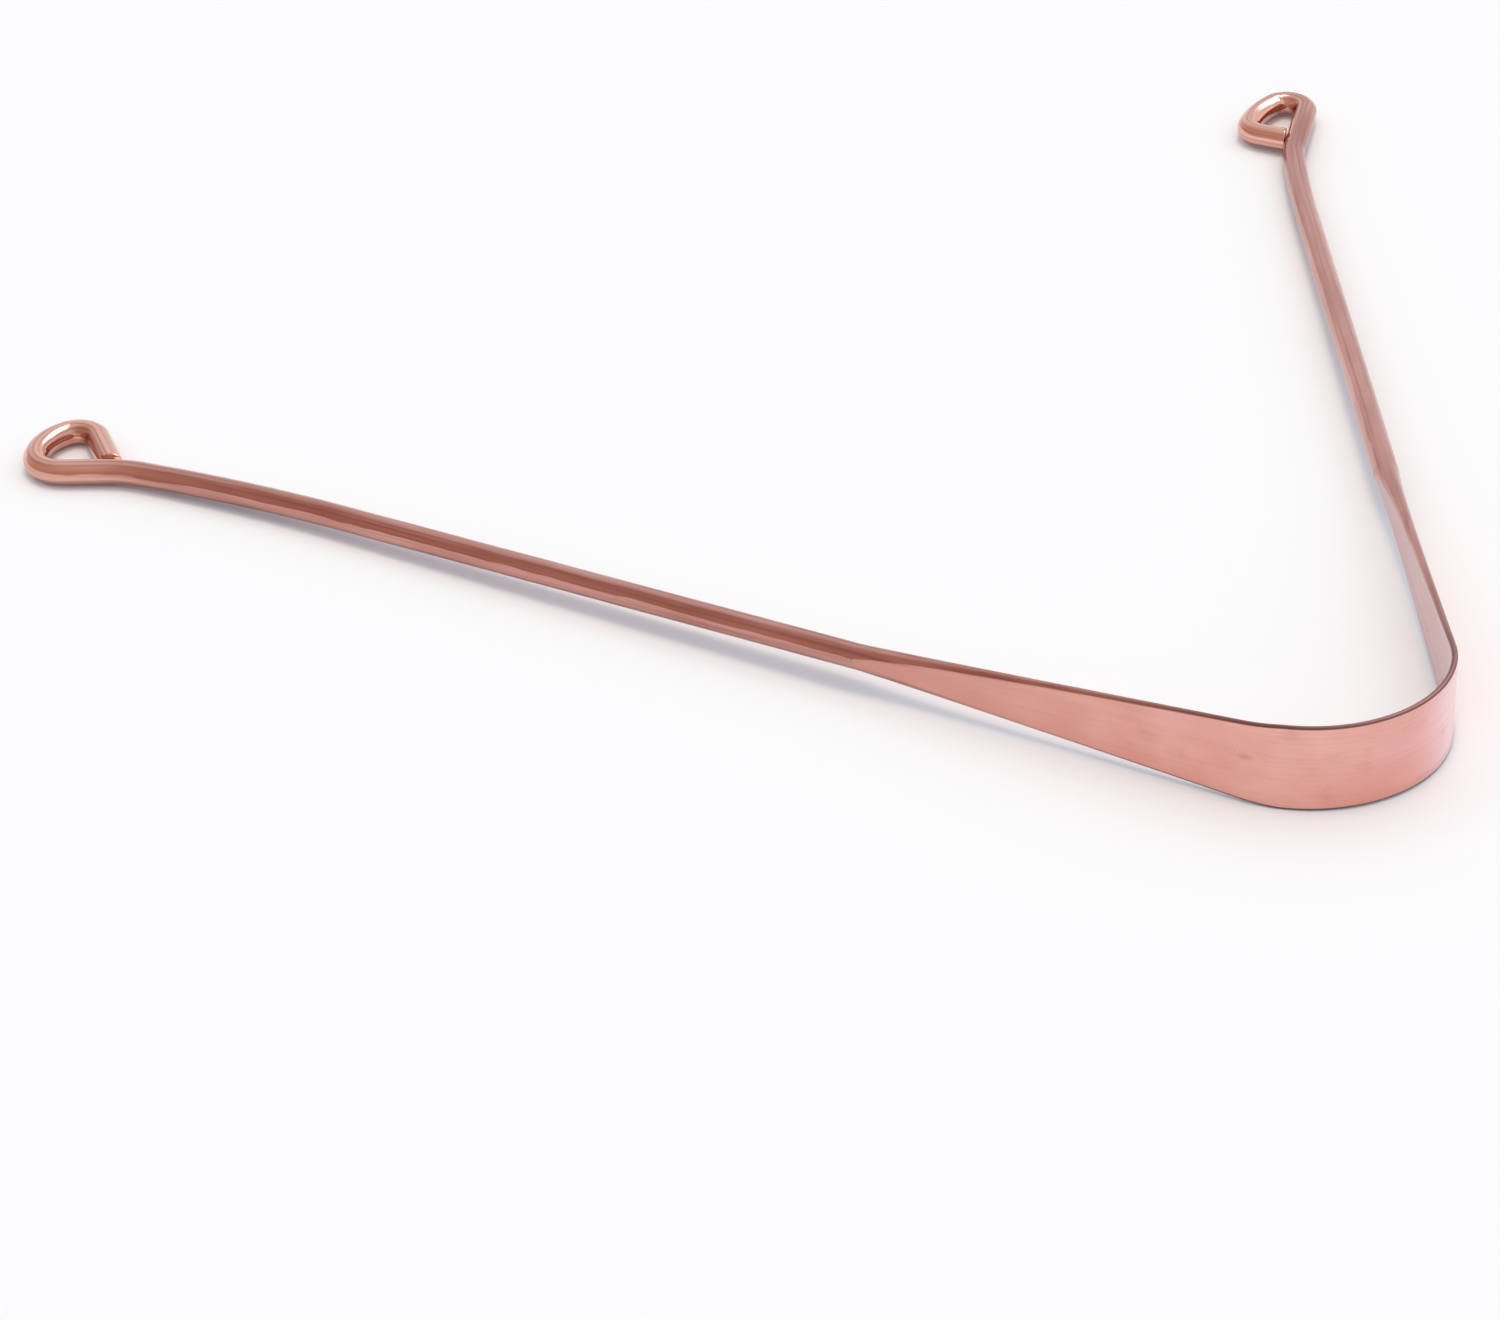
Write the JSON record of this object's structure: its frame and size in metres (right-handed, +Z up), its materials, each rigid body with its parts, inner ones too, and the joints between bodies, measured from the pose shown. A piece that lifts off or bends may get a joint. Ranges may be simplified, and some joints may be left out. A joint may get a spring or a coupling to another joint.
{
  "type": "tongue scraper",
  "caption": "Copper wire tongue scraper: a thin rolled blade bent into a wide V, tapering into springy round handle arms that end in inward-curled finger loops.",
  "frame": {"origin": "middle of the ground that the scraper covers when it lies on a table, at the level of the table", "axes": "+X along the midline towards the tip of the blade's bend, +Y across the arms towards the right arm, +Z up"},
  "size_m": [0.128, 0.163, 0.0094],
  "materials": {
    "rolled_copper": "satin rolled copper",
    "drawn_copper": "bright drawn copper wire"
  },
  "bodies": {
    "blade": {"scraping_blade": "rolled_copper"},
    "left_arm": {"left_shoulder": "rolled_copper", "left_handle_rod": "drawn_copper", "left_finger_loop": "drawn_copper"},
    "right_arm": {"right_shoulder": "rolled_copper", "right_handle_rod": "drawn_copper", "right_finger_loop": "drawn_copper"}
  },
  "joints": [
    {"name": "left_arm_spring", "type": "hinge", "parent": "blade", "child": "left_arm", "pos_m": [0.05618, -0.01013, 0.00455], "axis": [0.0273, 0, -0.9996], "range_deg": [-8, 15], "stiffness_Nm_per_rad": 0.58},
    {"name": "right_arm_spring", "type": "hinge", "parent": "blade", "child": "right_arm", "pos_m": [0.05618, 0.01516, 0.00455], "axis": [-0.0273, 0, 0.9996], "range_deg": [-8, 15], "stiffness_Nm_per_rad": 0.58}
  ]
}
